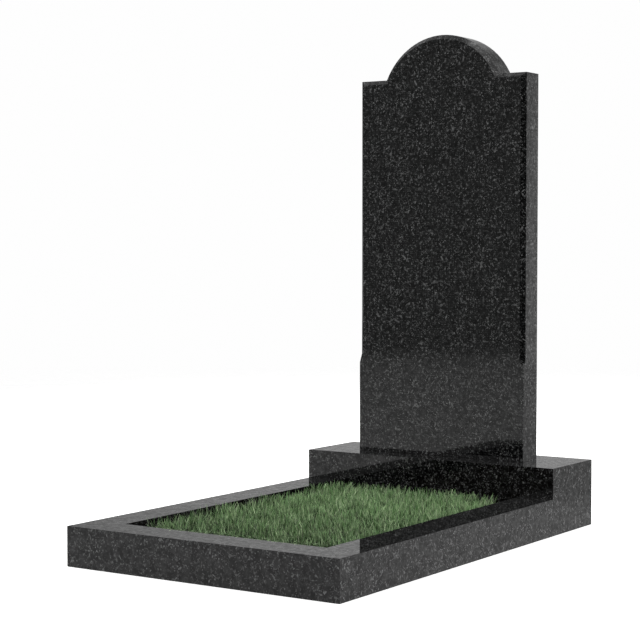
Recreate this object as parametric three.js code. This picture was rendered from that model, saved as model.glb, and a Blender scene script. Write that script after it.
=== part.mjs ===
// Headstone set of polished black gabbro: an upright stele with an arched top on a plinth,
// and a low kerb of three bars in front of it that holds a bed of soil with grass.
// Millimetres, +Z up, front at -Y. Origin at the middle of the footprint, on the ground.
import * as THREE from 'three';
import { mergeVertices } from 'three/addons/utils/BufferGeometryUtils.js';

// Plinth
const plinthWidth = 650;
const plinthDepth = 200;
const plinthHeight = 150;

// Kerb: its outer sides are flush with the ends of the plinth
const kerbLength = 860;        // from the front of the plinth to the front of the kerb
const kerbBarWidth = 82;
const kerbBarHeight = 82;

// Stele
const steleWidth = 438;
const steleThickness = 68;
const steleSetback = 62;       // from the front of the plinth
const shoulderHeight = 881;    // above the plinth
const shoulderLedge = 69;      // flat ledge on each side of the arch
const archRise = 97;           // above the shoulders

// Chamfer round the front of the stele, which stops short of the plinth on both sides
const chamferSize = 10;
const chamferStopHeight = 232; // full chamfer from here up
const chamferRunOut = 22;      // length over which it dies away below

// Bed
const soilHeight = 42;         // above the ground
const grassHeight = 46;        // tallest tufts above the soil
const grassThinnest = 0.45;    // lowest hollow in the grass, as a share of its height
const grassEdgeClearance = 7;  // from the kerb and the plinth to the grass
const tuftSpacing = 21;

const jointGap = 0.3;          // bedding joint between neighbouring pieces
const arcStep = THREE.MathUtils.degToRad(3);

// Places worked out from the sizes above
const overallDepth = kerbLength + plinthDepth;
const kerbFront = -overallDepth / 2;
const plinthFront = kerbFront + kerbLength;
const outerSide = plinthWidth / 2;
const innerSide = outerSide - kerbBarWidth;
const kerbInnerFront = kerbFront + kerbBarWidth;
const kerbBack = plinthFront - jointGap;

const polishedGabbro = (shade) => new THREE.MeshStandardMaterial({
  color: shade,
  roughness: 0.16,
  metalness: 0,
});
const steleStone = polishedGabbro(0x26282a);
const plinthStone = polishedGabbro(0x2e3032);
const kerbStone = polishedGabbro(0x36383a);
const dampSoil = new THREE.MeshStandardMaterial({ color: 0x2a2119, roughness: 0.95, metalness: 0 });
const meadowGrass = new THREE.MeshStandardMaterial({ color: 0x57724a, roughness: 0.8, metalness: 0 });

const headstone = new THREE.Group();

const addPiece = (name, geometry, material, x, y, z) => {
  const piece = new THREE.Mesh(geometry, material);
  piece.name = name;
  piece.position.set(x, y, z);
  headstone.add(piece);
};

// A slab with a plan outline given by corner points and a flat top and bottom
const slab = (corners, height) => {
  const plan = new THREE.Shape(corners.map(([x, y]) => new THREE.Vector2(x, y)));
  return new THREE.ExtrudeGeometry(plan, { depth: height, bevelEnabled: false });
};

const rectangle = (width, depth) => [
  [-width / 2, -depth / 2],
  [width / 2, -depth / 2],
  [width / 2, depth / 2],
  [-width / 2, depth / 2],
];

// Joins rings of points into one closed skin. All rings have the same number of points and run
// the same way round. Where two rings share a point, the face between them vanishes.
const closedSkin = (rings) => {
  const count = rings[0].length;
  const position = rings.flat(2);
  const faces = [];
  rings.slice(1).forEach((ring, level) => {
    for (let i = 0; i < count; i += 1) {
      const next = (i + 1) % count;
      const [a, b] = [level * count + i, level * count + next];
      const [c, d] = [a + count, b + count];
      faces.push([a, d, b], [a, c, d]);
    }
  });
  const capOf = (ring) => THREE.ShapeUtils.triangulateShape(
    ring.map(([x, , z]) => new THREE.Vector2(x, z)),
    [],
  );
  const last = (rings.length - 1) * count;
  capOf(rings[0]).forEach(([a, b, c]) => faces.push([a, b, c]));
  capOf(rings.at(-1)).forEach(([a, b, c]) => faces.push([last + a, last + c, last + b]));
  const raw = new THREE.BufferGeometry();
  raw.setAttribute('position', new THREE.Float32BufferAttribute(position, 3));
  raw.setIndex(faces.flat());
  return withoutSlivers(mergeVertices(raw, 0.001));
};

// Drops the faces that merging has left without an area
const withoutSlivers = (geometry) => {
  const index = Array.from(geometry.getIndex().array);
  const kept = [];
  for (let i = 0; i < index.length; i += 3) {
    const face = index.slice(i, i + 3);
    if (new Set(face).size === 3) kept.push(...face);
  }
  geometry.setIndex(kept);
  geometry.computeVertexNormals();
  return geometry;
};

// Outline of the stele drawn in by `inset`, from the right foot over the arch to the left foot
const archRadius = (inset) => {
  const halfSpan = steleWidth / 2 - shoulderLedge;
  return (halfSpan ** 2 + archRise ** 2) / (2 * archRise) - inset;
};
const archCentre = shoulderHeight + archRise - archRadius(0);
const archSteps = Math.ceil(Math.PI / arcStep / 2);

const steleRing = (inset, depth) => {
  const side = steleWidth / 2;
  const shoulder = shoulderHeight - inset;
  const radius = archRadius(inset);
  const footAngle = Math.acos((shoulder - archCentre) / radius);
  const ring = [
    [side, 0, 0],
    [side, 0, chamferStopHeight - chamferRunOut],
    [side - inset, depth, chamferStopHeight],
    [side - inset, depth, shoulder],
  ];
  for (let i = 0; i <= archSteps; i += 1) {
    const angle = footAngle * (1 - (2 * i) / archSteps);
    ring.push([radius * Math.sin(angle), depth, archCentre + radius * Math.cos(angle)]);
  }
  ring.push(
    [inset - side, depth, shoulder],
    [inset - side, depth, chamferStopHeight],
    [-side, 0, chamferStopHeight - chamferRunOut],
    [-side, 0, 0],
  );
  return ring;
};

const steleGeometry = () => closedSkin([
  steleRing(chamferSize, 0),
  steleRing(0, chamferSize),
  steleRing(0, 0).map(([x, , z]) => [x, steleThickness, z]),
]);

// Grass as one low mat whose top rises and falls in tufts
const tuftLevel = (column, row) => {
  const wave = Math.sin(column * 2.3 + row * 1.1) * Math.sin(column * 0.9 - row * 2.7);
  const alternate = (column + row) % 2 === 0 ? 1 : 0.35;
  return grassThinnest + (1 - grassThinnest) * alternate * (0.75 + 0.25 * wave);
};

const grassGeometry = (width, depth) => {
  const columns = Math.round(width / tuftSpacing);
  const rows = Math.round(depth / tuftSpacing);
  const mat = new THREE.BoxGeometry(width, depth, grassHeight, columns, rows, 1);
  mat.deleteAttribute('normal');
  mat.deleteAttribute('uv');
  const closed = mergeVertices(mat, 0.001);
  const position = closed.getAttribute('position');
  for (let i = 0; i < position.count; i += 1) {
    if (position.getZ(i) > 0) {
      const column = Math.round((position.getX(i) / width + 0.5) * columns);
      const row = Math.round((position.getY(i) / depth + 0.5) * rows);
      position.setZ(i, grassHeight * (tuftLevel(column, row) - 0.5));
    }
  }
  closed.translate(0, 0, grassHeight / 2);
  closed.computeVertexNormals();
  return closed;
};

// Plinth and stele
addPiece('plinth', slab(rectangle(plinthWidth, plinthDepth), plinthHeight), plinthStone,
  0, plinthFront + plinthDepth / 2, 0);
addPiece('stele', steleGeometry(), steleStone,
  0, plinthFront + steleSetback, plinthHeight + jointGap);

// Kerb: the front corners are mitred, so the outer faces run on to the corner
const mitreGap = jointGap * Math.SQRT1_2;
const frontBar = [
  [-outerSide + mitreGap, kerbFront],
  [outerSide - mitreGap, kerbFront],
  [innerSide - mitreGap, kerbInnerFront],
  [-innerSide + mitreGap, kerbInnerFront],
];
const rightBar = [
  [outerSide, kerbFront + mitreGap],
  [outerSide, kerbBack],
  [innerSide, kerbBack],
  [innerSide, kerbInnerFront + mitreGap],
];
const leftBar = rightBar.map(([x, y]) => [-x, y]).reverse();
addPiece('kerb_front', slab(frontBar, kerbBarHeight), kerbStone, 0, 0, 0);
addPiece('kerb_right', slab(rightBar, kerbBarHeight), kerbStone, 0, 0, 0);
addPiece('kerb_left', slab(leftBar, kerbBarHeight), kerbStone, 0, 0, 0);

// Bed of soil inside the kerb, with the grass on it
const bedWidth = 2 * (innerSide - jointGap);
const bedDepth = kerbBack - kerbInnerFront - jointGap;
const bedMiddle = (kerbBack + kerbInnerFront) / 2;
const grassWidth = 2 * (innerSide - grassEdgeClearance);
const grassDepth = kerbBack - kerbInnerFront - 2 * grassEdgeClearance;
addPiece('soil_bed', slab(rectangle(bedWidth, bedDepth), soilHeight), dampSoil, 0, bedMiddle, 0);
addPiece('grass', grassGeometry(grassWidth, grassDepth), meadowGrass,
  0, bedMiddle, soilHeight + jointGap);

export default headstone;
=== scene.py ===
import math

import bmesh
import bpy
import numpy as np
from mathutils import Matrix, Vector, bvhtree, noise


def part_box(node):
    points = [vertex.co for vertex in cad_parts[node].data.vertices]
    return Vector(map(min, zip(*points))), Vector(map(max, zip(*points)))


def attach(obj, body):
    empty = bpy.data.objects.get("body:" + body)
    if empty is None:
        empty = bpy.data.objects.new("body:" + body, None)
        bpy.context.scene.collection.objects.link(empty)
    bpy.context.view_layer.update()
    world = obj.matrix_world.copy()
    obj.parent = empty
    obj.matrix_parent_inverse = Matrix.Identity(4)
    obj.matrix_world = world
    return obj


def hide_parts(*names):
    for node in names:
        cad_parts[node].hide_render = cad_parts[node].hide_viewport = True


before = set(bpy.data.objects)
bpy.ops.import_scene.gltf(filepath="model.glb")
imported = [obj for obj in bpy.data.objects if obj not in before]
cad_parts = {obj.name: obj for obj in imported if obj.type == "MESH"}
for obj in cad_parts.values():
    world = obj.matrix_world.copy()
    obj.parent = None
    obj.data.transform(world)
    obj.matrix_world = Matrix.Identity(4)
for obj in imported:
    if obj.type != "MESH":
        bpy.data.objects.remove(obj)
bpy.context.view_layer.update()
mm = 0.001

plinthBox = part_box("plinth")
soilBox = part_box("soil_bed")
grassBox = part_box("grass")
groundLevel = plinthBox[0].z


def linearColour(hexColour):
    parts = [int(hexColour[i:i + 2], 16) / 255 for i in (1, 3, 5)]
    return tuple(c / 12.92 if c <= 0.04045 else ((c + 0.055) / 1.055) ** 2.4 for c in parts) + (1.0,)


def addNode(tree, kind, settings=(), inputs=()):
    # inputs takes plain values or the output sockets of other nodes
    node = tree.nodes.new(kind)
    for name, value in dict(settings).items():
        setattr(node, name, value)
    for name, value in dict(inputs).items():
        if isinstance(value, bpy.types.NodeSocket):
            tree.links.new(value, node.inputs[name])
        else:
            node.inputs[name].default_value = value
    return node


def newMaterial(name):
    material = bpy.data.materials.new(name)
    material.use_nodes = True
    material.node_tree.nodes.clear()
    return material, material.node_tree


def finishMaterial(tree, surface):
    addNode(tree, "ShaderNodeOutputMaterial", inputs={"Surface": surface})


# Camera, where the photo was taken from
camera = {
    "place": (1.9874, -3.0776, 0.6414),
    "azimuth": 33.785,  # degrees to the right of straight in front
    "downTilt": 2.492,
    "lens": 96.47,
    "sensor": 36.0,
    "clipEnd": 100.0,
}


def addCamera():
    data = bpy.data.cameras.new("camera")
    data.lens = camera["lens"]
    data.sensor_width = camera["sensor"]
    data.clip_end = camera["clipEnd"]
    item = bpy.data.objects.new("camera", data)
    item.location = camera["place"]
    tilt = math.radians(90 - camera["downTilt"])
    item.rotation_euler = (tilt, 0, math.radians(camera["azimuth"]))
    bpy.context.scene.collection.objects.link(item)
    bpy.context.scene.camera = item


# Studio: a pale floor that gives way to an even pale backdrop, with soft light from above, from
# behind and from the front left
studio = {
    "floorColour": "#646464",  # what the floor gives back to the stones
    "floorGlow": 0.355,  # and what it gives them even in shade
    "darkSide": (0.7, 0.7, 0.0),  # that glow fades this way, to the right and the rear
    "darkSpan": (0.55, 1.15),  # metres along it where the fading starts and ends
    "darkGlow": 0.175,  # what is left of the glow beyond
    "seenGlow": 0.55,  # the glow that the camera sees, which keeps shadows off the floor
    "floorSeen": "#f7f7f6",  # the same floor as the camera exposes it, near white
    "floorRoughness": 0.9,
    "floorShine": 0.1,
    "floorSize": 16.0,
    "floorFade": (4.5, 6.8),  # radii between which the floor gives way to the backdrop
    "seenFade": (2.0, 5.5),  # the same where the camera sees it
    "backdrop": 0.99,
    "ambient": 0.025,
    # soft lobes of light: name, direction, angles where they are full and gone, strength
    "lobes": (
        ("overhead", (-0.3, 0.1, 0.95), 30, 58, 0.36),
        ("highRight", (0.5, -0.3, 0.8), 30, 43, 0.75),
        ("behindHigh", (-0.04, 0.85, 0.52), 5, 20, 0.08),
        ("behindRight", (0.56, 0.83, 0.0), 15, 50, 0.46),
        ("behindLeft", (-0.34, 0.94, 0.0), 10, 35, 0.36),
        ("frontLeft", (-0.45, -0.89, 0.0), 16, 45, 0.14),
    ),
    # soft panels that light the ground and the grass, and don't show in the polish
    "panelAim": (0.0, 0.0, 0.2),
    "panels": (
        {"name": "frontPanel", "place": (0.1, -2.2, 2.6), "size": (3.0, 3.0), "power": 32.0},
        {"name": "leftPanel", "place": (-3.4, 0.5, 1.1), "size": (3.0, 2.0), "power": 200.0},
        {"name": "rightPanel", "place": (3.8, 3.0, 1.9), "size": (3.0, 2.0), "power": 125.0},
    ),
}


def addFloor():
    size = studio["floorSize"]
    mesh = bpy.data.meshes.new("floor")
    corners = [(-size, -size), (size, -size), (size, size), (-size, size)]
    mesh.from_pydata([(x, y, groundLevel) for x, y in corners], [], [(0, 1, 2, 3)])
    floor = bpy.data.objects.new("floor", mesh)
    bpy.context.scene.collection.objects.link(floor)
    material, tree = newMaterial("paleStudioFloor")
    position = addNode(tree, "ShaderNodeNewGeometry").outputs["Position"]
    radius = addNode(tree, "ShaderNodeVectorMath", {"operation": "LENGTH"}, {0: position})
    fades = []
    for start, end in (studio["floorFade"], studio["seenFade"]):
        fades.append(addNode(tree, "ShaderNodeMapRange", {"interpolation_type": "SMOOTHSTEP"}, {
            "Value": radius.outputs["Value"],
            "From Min": start,
            "From Max": end,
        }).outputs[0])
    isCamera = addNode(tree, "ShaderNodeLightPath").outputs["Is Camera Ray"]
    fade = addNode(tree, "ShaderNodeMix", {"data_type": "FLOAT"},
                   {0: isCamera, 2: fades[0], 3: fades[1]})
    colour = addNode(tree, "ShaderNodeMix", {"data_type": "RGBA"}, {
        0: isCamera,
        6: linearColour(studio["floorColour"]),
        7: linearColour(studio["floorSeen"]),
    }).outputs[2]
    along = addNode(tree, "ShaderNodeVectorMath", {"operation": "DOT_PRODUCT"},
                    {0: position, 1: studio["darkSide"]})
    given = addNode(tree, "ShaderNodeMapRange", {"interpolation_type": "SMOOTHSTEP"}, {
        "Value": along.outputs["Value"],
        "From Min": studio["darkSpan"][0],
        "From Max": studio["darkSpan"][1],
        "To Min": studio["floorGlow"],
        "To Max": studio["darkGlow"],
    })
    glow = addNode(tree, "ShaderNodeMix", {"data_type": "FLOAT"},
                   {0: isCamera, 2: given.outputs[0], 3: studio["seenGlow"]})
    matt = addNode(tree, "ShaderNodeBsdfPrincipled", inputs={
        "Base Color": colour,
        "Emission Color": (1.0, 1.0, 1.0, 1.0),
        "Emission Strength": glow.outputs[0],
        "Roughness": studio["floorRoughness"],
        "Specular IOR Level": studio["floorShine"],
    })
    clear = addNode(tree, "ShaderNodeBsdfTransparent")
    mixed = addNode(tree, "ShaderNodeMixShader", inputs={
        0: fade.outputs[0],
        1: matt.outputs[0],
        2: clear.outputs[0],
    })
    finishMaterial(tree, mixed.outputs[0])
    mesh.materials.append(material)


def addBackdrop():
    world = bpy.data.worlds.new("studio")
    bpy.context.scene.world = world
    world.use_nodes = True
    tree = world.node_tree
    tree.nodes.clear()
    direction = addNode(tree, "ShaderNodeTexCoord").outputs["Generated"]
    total = studio["ambient"]
    for name, centre, fullAngle, goneAngle, strength in studio["lobes"]:
        facing = addNode(tree, "ShaderNodeVectorMath", {"operation": "DOT_PRODUCT", "label": name},
                         {0: direction, 1: Vector(centre).normalized()})
        lobe = addNode(tree, "ShaderNodeMapRange", {"interpolation_type": "SMOOTHSTEP"}, {
            "Value": facing.outputs["Value"],
            "From Min": math.cos(math.radians(goneAngle)),
            "From Max": math.cos(math.radians(fullAngle)),
            "To Max": strength,
        })
        total = addNode(tree, "ShaderNodeMath", {"operation": "ADD"},
                        {0: lobe.outputs["Result"], 1: total}).outputs[0]
    white = (1.0, 1.0, 1.0, 1.0)
    light = addNode(tree, "ShaderNodeBackground", inputs={"Color": white, "Strength": total})
    seen = addNode(tree, "ShaderNodeBackground",
                   inputs={"Color": white, "Strength": studio["backdrop"]})
    isCamera = addNode(tree, "ShaderNodeLightPath").outputs["Is Camera Ray"]
    mixed = addNode(tree, "ShaderNodeMixShader",
                    inputs={0: isCamera, 1: light.outputs[0], 2: seen.outputs[0]})
    addNode(tree, "ShaderNodeOutputWorld", inputs={"Surface": mixed.outputs[0]})


def addPanel(panel):
    data = bpy.data.lights.new(panel["name"], "AREA")
    data.shape = "RECTANGLE"
    data.size, data.size_y = panel["size"]
    data.energy = panel["power"]
    item = bpy.data.objects.new(panel["name"], data)
    item.location = panel["place"]
    towards = Vector(studio["panelAim"]) - Vector(panel["place"])
    item.rotation_euler = towards.to_track_quat("-Z", "Y").to_euler()
    item.visible_camera = False
    item.visible_glossy = False
    bpy.context.scene.collection.objects.link(item)


# Gabbro, sold as black granite: sawn, then polished to a mirror. The eye gets a near-black ground of
# pyroxene and, in it, thin pale laths of feldspar that lie every way and read as short light flecks.
# Real laths are 1 to 5 mm long and too fine to show from here, so they are drawn about three times as
# coarse
gabbro = {
    "ground": "#040404",
    "mottle": "#1c1d1d",  # paler clouds in the ground
    "feldspar": "#848585",
    "ior": 1.55,
    "roughness": 0.035,
    "mottleMm": 9.0,
    "mottleDetail": 3.0,
    "mottleRoughness": 0.6,
    "mottleSpan": (0.44, 0.68),
    "clusterMm": 26.0,
    "clusterDetail": 2.0,
    "clusterSpan": (0.30, 0.66),
    "clusterShare": (0.45, 1.4),  # how strong the pale grains are where they thin out and crowd
    "patchMm": 12.0,
    "patchDetail": 3.0,
    "patchRoughness": 0.65,
    "patchSpan": (0.42, 0.66),
    "patchPolish": 0.7,  # extra shine of the patches
    "grainPolish": 1.8,  # and of the pale grains
    "curlMm": 12.0,
    "curlWidth": 0.045,
    "curlDetail": 1.0,
    "curlDistortion": 0.8,
    "curlBreaksMm": 7.5,
    "curlBreaks": (0.47, 0.62),
    "curlStrength": 0.50,
    "laths": (
        # spacing, length and width in mm, strength
        (24.0, 14.0, 5.0, 0.50),
        (8.0, 10.5, 2.7, 0.72),
        (5.0, 5.5, 2.0, 0.44),
    ),
}


def lathMask(tree, place, spacing, length, width, strength):
    # each Voronoi cell holds one needle through its centre, turned and shaded by the cell's own random
    # colour, full strength in its core and gone at half its width and length
    cell = addNode(tree, "ShaderNodeTexVoronoi",
                   inputs={"Vector": place, "Scale": 1 / (spacing * mm)})
    offset = addNode(tree, "ShaderNodeVectorMath", {"operation": "SUBTRACT"},
                     {0: place, 1: cell.outputs["Position"]}).outputs[0]
    spread = addNode(tree, "ShaderNodeVectorMath", {"operation": "SUBTRACT"},
                     {0: cell.outputs["Color"], 1: (0.5, 0.5, 0.5)}).outputs[0]
    axis = addNode(tree, "ShaderNodeVectorMath", {"operation": "NORMALIZE"}, {0: spread}).outputs[0]
    along = addNode(tree, "ShaderNodeVectorMath", {"operation": "DOT_PRODUCT"},
                    {0: offset, 1: axis})
    along = addNode(tree, "ShaderNodeMath", {"operation": "ABSOLUTE"},
                    {0: along.outputs["Value"]}).outputs[0]
    across = addNode(tree, "ShaderNodeVectorMath", {"operation": "CROSS_PRODUCT"},
                     {0: offset, 1: axis})
    across = addNode(tree, "ShaderNodeVectorMath", {"operation": "LENGTH"}, {0: across.outputs[0]})
    inWidth = addNode(tree, "ShaderNodeMapRange", inputs={
        "Value": across.outputs["Value"],
        "From Min": width * mm / 2,
        "From Max": width * mm / 4,
    })
    inLength = addNode(tree, "ShaderNodeMapRange", inputs={
        "Value": along,
        "From Min": length * mm / 2,
        "From Max": length * mm / 3,
    })
    mask = addNode(tree, "ShaderNodeMath", {"operation": "MULTIPLY"},
                   {0: inWidth.outputs[0], 1: inLength.outputs[0]}).outputs[0]
    shade = addNode(tree, "ShaderNodeSeparateColor", inputs={0: cell.outputs["Color"]}).outputs[2]
    for factor in (shade, strength):
        mask = addNode(tree, "ShaderNodeMath", {"operation": "MULTIPLY"},
                       {0: mask, 1: factor}).outputs[0]
    return mask


def curlMask(tree, place):
    # thin bent grains: the level line of one noise, broken into short strokes by another
    field = addNode(tree, "ShaderNodeTexNoise", inputs={
        "Vector": place,
        "Scale": 1 / (gabbro["curlMm"] * mm),
        "Detail": gabbro["curlDetail"],
        "Distortion": gabbro["curlDistortion"],
    }).outputs[0]
    level = addNode(tree, "ShaderNodeMath", {"operation": "SUBTRACT"},
                    {0: field, 1: 0.5}).outputs[0]
    away = addNode(tree, "ShaderNodeMath", {"operation": "ABSOLUTE"}, {0: level}).outputs[0]
    line = addNode(tree, "ShaderNodeMapRange", inputs={
        "Value": away,
        "From Min": gabbro["curlWidth"],
        "From Max": 0.0,
    })
    breaks = addNode(tree, "ShaderNodeTexNoise", inputs={
        "Vector": place,
        "Scale": 1 / (gabbro["curlBreaksMm"] * mm),
        "Detail": 0.0,
    }).outputs[0]
    shown = addNode(tree, "ShaderNodeMapRange", inputs={
        "Value": breaks,
        "From Min": gabbro["curlBreaks"][0],
        "From Max": gabbro["curlBreaks"][1],
        "To Max": gabbro["curlStrength"],
    })
    return addNode(tree, "ShaderNodeMath", {"operation": "MULTIPLY"},
                   {0: line.outputs[0], 1: shown.outputs[0]}).outputs[0]


def clusterMask(tree, place):
    # the light grains crowd together in some places and thin out in others
    field = addNode(tree, "ShaderNodeTexNoise", inputs={
        "Vector": place,
        "Scale": 1 / (gabbro["clusterMm"] * mm),
        "Detail": gabbro["clusterDetail"],
    }).outputs[0]
    return addNode(tree, "ShaderNodeMapRange", inputs={
        "Value": field,
        "From Min": gabbro["clusterSpan"][0],
        "From Max": gabbro["clusterSpan"][1],
        "To Min": gabbro["clusterShare"][0],
        "To Max": gabbro["clusterShare"][1],
    }).outputs[0]


def polishedGabbro(name, shift):
    material, tree = newMaterial(name)
    place = addNode(tree, "ShaderNodeTexCoord").outputs["Object"]
    place = addNode(tree, "ShaderNodeVectorMath", {"operation": "ADD"},
                    {0: place, 1: shift}).outputs[0]
    mottle = addNode(tree, "ShaderNodeTexNoise", inputs={
        "Vector": place,
        "Scale": 1 / (gabbro["mottleMm"] * mm),
        "Detail": gabbro["mottleDetail"],
        "Roughness": gabbro["mottleRoughness"],
    })
    depth = addNode(tree, "ShaderNodeMapRange", inputs={
        "Value": mottle.outputs[0],
        "From Min": gabbro["mottleSpan"][0],
        "From Max": gabbro["mottleSpan"][1],
    })
    colour = addNode(tree, "ShaderNodeMix", {"data_type": "RGBA"}, {
        0: depth.outputs[0],
        6: linearColour(gabbro["ground"]),
        7: linearColour(gabbro["mottle"]),
    }).outputs[2]
    masks = [lathMask(tree, place, *facts) for facts in gabbro["laths"]]
    masks.append(curlMask(tree, place))
    crowd = clusterMask(tree, place)
    grains = 0.0
    for mask in masks:
        mask = addNode(tree, "ShaderNodeMath", {"operation": "MULTIPLY"},
                       {0: mask, 1: crowd}).outputs[0]
        colour = addNode(tree, "ShaderNodeMix", {"data_type": "RGBA"},
                         {0: mask, 6: colour, 7: linearColour(gabbro["feldspar"])}).outputs[2]
        grains = addNode(tree, "ShaderNodeMath", {"operation": "MAXIMUM"},
                         {0: mask, 1: grains}).outputs[0]
    # feldspar takes the brighter polish, so the shine comes and goes with the grains and in patches
    patch = addNode(tree, "ShaderNodeTexNoise", inputs={
        "Vector": place,
        "Scale": 1 / (gabbro["patchMm"] * mm),
        "Detail": gabbro["patchDetail"],
        "Roughness": gabbro["patchRoughness"],
    })
    polish = addNode(tree, "ShaderNodeMapRange", inputs={
        "Value": patch.outputs[0],
        "From Min": gabbro["patchSpan"][0],
        "From Max": gabbro["patchSpan"][1],
        "To Max": gabbro["patchPolish"],
    })
    coat = addNode(tree, "ShaderNodeMath", {"operation": "MULTIPLY_ADD", "use_clamp": True},
                   {0: grains, 1: gabbro["grainPolish"], 2: polish.outputs[0]})
    stone = addNode(tree, "ShaderNodeBsdfPrincipled", inputs={
        "Base Color": colour,
        "Roughness": gabbro["roughness"],
        "IOR": gabbro["ior"],
        "Coat Weight": coat.outputs[0],
        "Coat Roughness": gabbro["roughness"],
    })
    finishMaterial(tree, stone.outputs[0])
    return material


# Stones: the sawn blocks with their sharp edges just broken, as a mason leaves them
stones = {
    "arris": 0.6 * mm,
    "arrisSteps": 3,
    "arrisProfile": 0.5,  # round
    "arrisFrom": 70,  # degrees between faces from which an edge is broken
    "sharpFrom": 40,  # degrees from which shading stays sharp
    "flatWithin": 0.5,  # degrees within which faces are joined into one
    "weld": 0.01 * mm,
    "jointReach": 1.0 * mm,  # edges this near another block are left as cut
    "pieces": {
        # node: material slot, shift of the pattern so that no two blocks share it
        "plinth": ("stone_plinth", (0.31, 0.0, 0.0)),
        "stele": ("stone_stele", (0.0, 0.77, 0.13)),
        "kerb_front": ("stone_kerb", (1.71, 0.2, 0.0)),
        "kerb_right": ("stone_kerb", (0.4, 2.3, 0.0)),
        "kerb_left": ("stone_kerb", (2.6, 0.9, 0.5)),
    },
}


def neighboursOf(node):
    found = []
    for other in stones["pieces"]:
        if other != node:
            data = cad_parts[other].data
            corners = [v.co for v in data.vertices]
            found.append(bvhtree.BVHTree.FromPolygons(corners, [f.vertices for f in data.polygons]))
    return found


def atJoint(edge, neighbours):
    middle = (edge.verts[0].co + edge.verts[1].co) / 2
    reach = stones["jointReach"]
    return any(tree.find_nearest(middle, reach)[0] is not None for tree in neighbours)


def addStone(node, shift):
    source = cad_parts[node].data
    mesh = bpy.data.meshes.new(node + "_stone")
    mesh.from_pydata([v.co for v in source.vertices], [], [f.vertices for f in source.polygons])
    work = bmesh.new()
    work.from_mesh(mesh)
    bmesh.ops.remove_doubles(work, verts=work.verts, dist=stones["weld"])
    bmesh.ops.dissolve_limit(work, angle_limit=math.radians(stones["flatWithin"]),
                             verts=work.verts, edges=work.edges)
    wanted = math.radians(stones["arrisFrom"])
    neighbours = neighboursOf(node)
    broken = [e for e in work.edges
              if e.calc_face_angle(0.0) > wanted and e.is_convex and not atJoint(e, neighbours)]
    bmesh.ops.bevel(work, geom=broken, offset=stones["arris"], offset_type="OFFSET",
                    segments=stones["arrisSteps"], profile=stones["arrisProfile"],
                    affect="EDGES", clamp_overlap=True)
    for face in work.faces:
        face.smooth = True
    for edge in work.edges:
        edge.smooth = edge.calc_face_angle(0.0) < math.radians(stones["sharpFrom"])
    work.to_mesh(mesh)
    work.free()
    mesh.materials.append(polishedGabbro("polishedGabbro_" + node, shift))
    piece = bpy.data.objects.new(node + "_stone", mesh)
    bpy.context.scene.collection.objects.link(piece)
    weighted = piece.modifiers.new("flatFaces", "WEIGHTED_NORMAL")
    weighted.keep_sharp = True
    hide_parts(node)
    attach(piece, "root")


# Soil: damp garden earth, raked level. The eye gets a dark matt brown with lumps and crumbs
soil = {
    "cell": 6 * mm,
    "lumpHeight": 5 * mm,
    "lumpSpacing": 22 * mm,
    "crumbSpacing": 7 * mm,
    "crumbLayer": 3.0,  # another level of the same noise
    "levelShares": (0.6, 0.4, 0.2),  # of the lump height: mean depth, lumps, crumbs
    "dark": "#1a130d",
    "light": "#3d2f22",
    "grainMm": 2.5,
    "grainDetail": 4.0,
    "grainHeight": 1.5 * mm,
    "roughness": 0.95,
    "sharpFrom": 60,
}


def crumbledEarth():
    material, tree = newMaterial("dampEarth")
    place = addNode(tree, "ShaderNodeTexCoord").outputs["Object"]
    grain = addNode(tree, "ShaderNodeTexNoise", inputs={
        "Vector": place,
        "Scale": 1 / (soil["grainMm"] * mm),
        "Detail": soil["grainDetail"],
    })
    colour = addNode(tree, "ShaderNodeMix", {"data_type": "RGBA"}, {
        0: grain.outputs[0],
        6: linearColour(soil["dark"]),
        7: linearColour(soil["light"]),
    }).outputs[2]
    bump = addNode(tree, "ShaderNodeBump",
                   inputs={"Height": grain.outputs[0], "Distance": soil["grainHeight"]})
    earth = addNode(tree, "ShaderNodeBsdfPrincipled", inputs={
        "Base Color": colour,
        "Roughness": soil["roughness"],
        "Normal": bump.outputs[0],
    })
    finishMaterial(tree, earth.outputs[0])
    return material


def soilLevel(x, y):
    lump = noise.noise(Vector((x, y, 0.0)) / soil["lumpSpacing"])
    crumb = noise.noise(Vector((x, y, soil["crumbLayer"])) / soil["crumbSpacing"])
    mean, lumpShare, crumbShare = soil["levelShares"]
    return soilBox[1].z - soil["lumpHeight"] * (mean - lumpShare * lump - crumbShare * crumb)


def addSoil():
    low, high = soilBox
    columns = round((high.x - low.x) / soil["cell"])
    rows = round((high.y - low.y) / soil["cell"])
    work = bmesh.new()
    grid = []
    for row in range(rows + 1):
        y = low.y + (high.y - low.y) * row / rows
        line = []
        for column in range(columns + 1):
            x = low.x + (high.x - low.x) * column / columns
            line.append(work.verts.new((x, y, soilLevel(x, y))))
        grid.append(line)
    for row in range(rows):
        for column in range(columns):
            work.faces.new((grid[row][column], grid[row][column + 1],
                            grid[row + 1][column + 1], grid[row + 1][column]))
    rim = [e for e in work.edges if e.is_boundary]
    walls = bmesh.ops.extrude_edge_only(work, edges=rim)["geom"]
    foot = [v for v in walls if isinstance(v, bmesh.types.BMVert)]
    for vertex in foot:
        vertex.co.z = low.z
    bmesh.ops.contextual_create(work, geom=[e for e in work.edges if e.is_boundary])
    bmesh.ops.recalc_face_normals(work, faces=work.faces)
    mesh = bpy.data.meshes.new("soil")
    work.to_mesh(mesh)
    work.free()
    mesh.shade_smooth()
    mesh.set_sharp_from_angle(angle=math.radians(soil["sharpFrom"]))
    mesh.materials.append(crumbledEarth())
    piece = bpy.data.objects.new("soil", mesh)
    bpy.context.scene.collection.objects.link(piece)
    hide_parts("soil_bed")
    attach(piece, "root")


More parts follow.
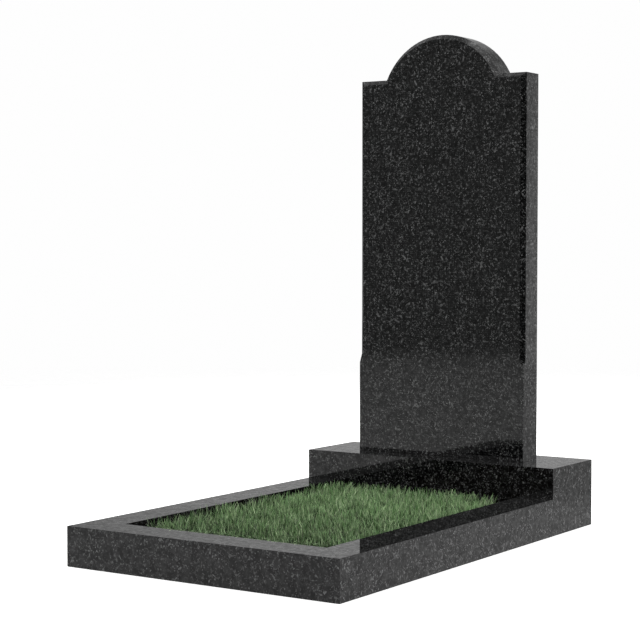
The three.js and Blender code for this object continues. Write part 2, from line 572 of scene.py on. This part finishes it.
# Grass: upright meadow grass, trimmed a little above the kerb, every blade a bent strip. The eye gets
# a soft matt green, palest at some of the tips, with painted shade almost black between the blades
grass = {
    "seed": 7,
    "blades": 25000,
    "length": (30 * mm, 61 * mm),
    "width": (1.4 * mm, 2.5 * mm),
    "lengthMix": (0.45, 0.55, 0.35),  # of the way from short to long: middle, clumps, blade by blade
    "lean": 24,  # degrees, most that a blade leans at its foot
    "bend": 50,  # degrees more at its tip
    "bendPower": 1.5,  # few blades bend that far
    "strayBand": (36 * mm, 54 * mm),  # from the front bar, where some blades grow out over it
    "strayShare": 0.5,
    "strayLength": (78.96 * mm, 87.36 * mm),
    "strayHeading": 0.9,  # radians, the fan in which they lie
    "strayLean": (2, 6),  # degrees
    "strayBend": (82, 98),
    "strayCurl": 1.8,  # they stand straight and bend near the tip
    "clump": 34 * mm,  # across, of the tufts in which the blades stand taller
    "clumpLayer": 9.0,
    "edge": 3 * mm,  # from the stone to the outermost blades
    # radii left bare at the corners: front left and right, then back left and right
    "corners": ((110 * mm, 20 * mm), (20 * mm, 140 * mm)),
    "thinEdge": 90 * mm,  # over which the blades get denser
    "edgeShare": 0.9,
    "frontShadeDepth": 700 * mm,  # from the front, over which the painted shade on the blades fades out
    # at the front the blades climb only this share of the way out of the painted shade
    "frontShadeShare": 0.83,
    "spread": 0.36,  # by how much some blades, at random, stay deeper in the painted shade than others
    "footDepth": 2 * mm,  # below the soil
    "steps": (0.0, 0.45, 0.8, 1.0),  # shares of the length at which a blade has points
    "widths": (0.75, 1.0, 0.6, 0.0),  # and its width there
    "shadeToGreen": (0.35, 0.74),  # height on a blade over which it turns from painted shade to green
    # painted shade, low on each blade among the others
    "paintedRootShade": "#080e06",
    "tipGreen": "#7ba66a",
    "tipPale": "#d4eabb",
    "palePower": 2,  # few blades are that pale
    "roughness": 0.45,
    "shine": 0.5,
}


def meadowGrass():
    material, tree = newMaterial("meadowGrass")
    tone = addNode(tree, "ShaderNodeAttribute", {"attribute_name": "bladeToneAndShade"})
    split = addNode(tree, "ShaderNodeSeparateColor", inputs={0: tone.outputs["Color"]})
    tip = addNode(tree, "ShaderNodeMix", {"data_type": "RGBA"}, {
        0: split.outputs[0],
        6: linearColour(grass["tipGreen"]),
        7: linearColour(grass["tipPale"]),
    }).outputs[2]
    # painted shade: each blade is dark low down and turns green higher up
    height = addNode(tree, "ShaderNodeMapRange", {"interpolation_type": "SMOOTHSTEP"}, {
        "Value": split.outputs[1],
        "From Min": grass["shadeToGreen"][0],
        "From Max": grass["shadeToGreen"][1],
    })
    colour = addNode(tree, "ShaderNodeMix", {"data_type": "RGBA"}, {
        0: height.outputs[0],
        6: linearColour(grass["paintedRootShade"]),
        7: tip,
    }).outputs[2]
    blade = addNode(tree, "ShaderNodeBsdfPrincipled", inputs={
        "Base Color": colour,
        "Roughness": grass["roughness"],
        "Specular IOR Level": grass["shine"],
    })
    finishMaterial(tree, blade.outputs[0])
    return material


def bladeRoots(draw):
    # a jittered grid spreads the blades evenly, but they thin out at the edge and leave corners bare
    low, high = soilBox
    inset = grass["edge"]
    width = high.x - low.x - 2 * inset
    depth = high.y - low.y - 2 * inset
    columns = round(math.sqrt(grass["blades"] * width / depth))
    rows = round(grass["blades"] / columns)
    column, row = np.meshgrid(np.arange(columns), np.arange(rows))
    x = low.x + inset + width * (column.ravel() + draw.random(columns * rows)) / columns
    y = low.y + inset + depth * (row.ravel() + draw.random(columns * rows)) / rows
    fromMiddleX = x - (low.x + high.x) / 2
    fromMiddleY = y - (low.y + high.y) / 2
    atBack = (fromMiddleY > 0).astype(int)
    atRight = (fromMiddleX > 0).astype(int)
    radius = np.array(grass["corners"])[atBack, atRight]
    pastX = np.abs(fromMiddleX) - (width / 2 - radius)
    pastY = np.abs(fromMiddleY) - (depth / 2 - radius)
    corner = np.hypot(np.maximum(pastX, 0), np.maximum(pastY, 0))
    inside = radius - corner - np.minimum(np.maximum(pastX, pastY), 0)
    denser = np.clip(inside / grass["thinEdge"], 0, 1)
    share = grass["edgeShare"] + (1 - grass["edgeShare"]) * denser
    kept = (inside > 0) & (draw.random(len(x)) < share)
    return x[kept], y[kept]


def strayBlades(draw, x, y):
    # some blades a little way in from the front hang out over the stone, but none in the bare corner
    start, end = grass["strayBand"]
    inward = y - soilBox[0].y
    grown = x - soilBox[0].x > grass["corners"][0][0]
    return grown & (inward > start) & (inward < end) & (draw.random(len(y)) < grass["strayShare"])


def between(span, share):
    return span[0] + (span[1] - span[0]) * share


def addGrass():
    draw = np.random.default_rng(grass["seed"])
    x, y = bladeRoots(draw)
    count = len(x)
    layer = grass["clumpLayer"]
    clump = np.array([noise.noise(Vector((a, b, layer)) / grass["clump"]) for a, b in zip(x, y)])
    middle, clumpShare, bladeShare = grass["lengthMix"]
    own = (draw.random(count) - 0.5) * 2
    share = np.clip(middle + clumpShare * clump + bladeShare * own, 0, 1)
    length = between(grass["length"], share)
    width = between(grass["width"], draw.random(count))
    heading = draw.random(count) * 2 * math.pi
    facing = draw.random(count) * 2 * math.pi
    lean = np.radians(grass["lean"]) * draw.random(count)
    bend = np.radians(grass["bend"]) * draw.random(count) ** grass["bendPower"]
    stray = strayBlades(draw, x, y)
    strays = stray.sum()
    heading[stray] = -math.pi / 2 + (draw.random(strays) - 0.5) * grass["strayHeading"]
    lean[stray] = np.radians(between(grass["strayLean"], draw.random(strays)))
    bend[stray] = np.radians(between(grass["strayBend"], draw.random(strays)))
    length[stray] = between(grass["strayLength"], draw.random(strays))
    curl = np.where(stray, grass["strayCurl"], 1.0)
    foot = np.array([soilLevel(a, b) for a, b in zip(x, y)]) - grass["footDepth"]
    steps = grass["steps"]
    points = []
    spine = np.stack([x, y, foot], 1)
    tops = grassBox[1].z
    for k, step in enumerate(steps):
        if k:
            run = (step - steps[k - 1]) * length
            angle = lean + bend * step ** curl
            spine = spine + np.stack([
                run * np.sin(angle) * np.cos(heading),
                run * np.sin(angle) * np.sin(heading),
                run * np.cos(angle),
            ], 1)
            spine[:, 2] = np.minimum(spine[:, 2], tops)
        half = (width * grass["widths"][k] / 2)[:, None]
        side = np.stack([np.cos(facing), np.sin(facing), np.zeros(count)], 1)
        if k < len(steps) - 1:
            points.append(spine - side * half)
            points.append(spine + side * half)
        else:
            points.append(spine)
    stack = np.stack(points, 1)  # blade, point, axis
    perBlade = stack.shape[1]
    start = np.arange(count)[:, None] * perBlade
    pattern = np.array([(0, 1, 3), (0, 3, 2), (2, 3, 5), (2, 5, 4), (4, 5, 6)])
    faces = (start[:, :, None] + pattern[None]).reshape(-1, 3)
    mesh = bpy.data.meshes.new("grass_blades")
    mesh.vertices.add(count * perBlade)
    mesh.vertices.foreach_set("co", stack.reshape(-1).astype(np.float32))
    mesh.loops.add(len(faces) * 3)
    mesh.loops.foreach_set("vertex_index", faces.reshape(-1).astype(np.int32))
    mesh.polygons.add(len(faces))
    mesh.polygons.foreach_set("loop_start", (np.arange(len(faces)) * 3).astype(np.int32))
    mesh.update(calc_edges=True)
    mesh.shade_smooth()
    tone = mesh.color_attributes.new("bladeToneAndShade", "FLOAT_COLOR", "POINT")
    # painted shade: the blades stay darker towards the front, and some at random
    inward = np.clip((y - soilBox[0].y) / grass["frontShadeDepth"], 0, 1)
    lit = grass["frontShadeShare"] + (1 - grass["frontShadeShare"]) * inward
    lit = lit * (1 - grass["spread"] * draw.random(count))
    hue = np.repeat(draw.random(count)[:, None] ** grass["palePower"], perBlade, 1)
    heights = np.repeat(steps, 2)[:perBlade]  # two points at each step, but one at the tip
    rise = lit[:, None] * heights
    values = np.stack([hue, rise, np.zeros_like(hue), np.ones_like(hue)], 2)
    tone.data.foreach_set("color", values.reshape(-1).astype(np.float32))
    mesh.materials.append(meadowGrass())
    piece = bpy.data.objects.new("grass_blades", mesh)
    bpy.context.scene.collection.objects.link(piece)
    piece.visible_glossy = False  # the polish mirrors the stones alone
    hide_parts("grass")
    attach(piece, "root")
    print("grass:", count, "blades,", len(faces), "triangles")


addCamera()
addFloor()
addBackdrop()
for panelFacts in studio["panels"]:
    addPanel(panelFacts)
print("studio ready")
for nodeName, (slotName, patternShift) in stones["pieces"].items():
    addStone(nodeName, patternShift)
print("stones ready")
addSoil()
print("soil ready")
addGrass()
bpy.context.scene.view_settings.view_transform = "Standard"
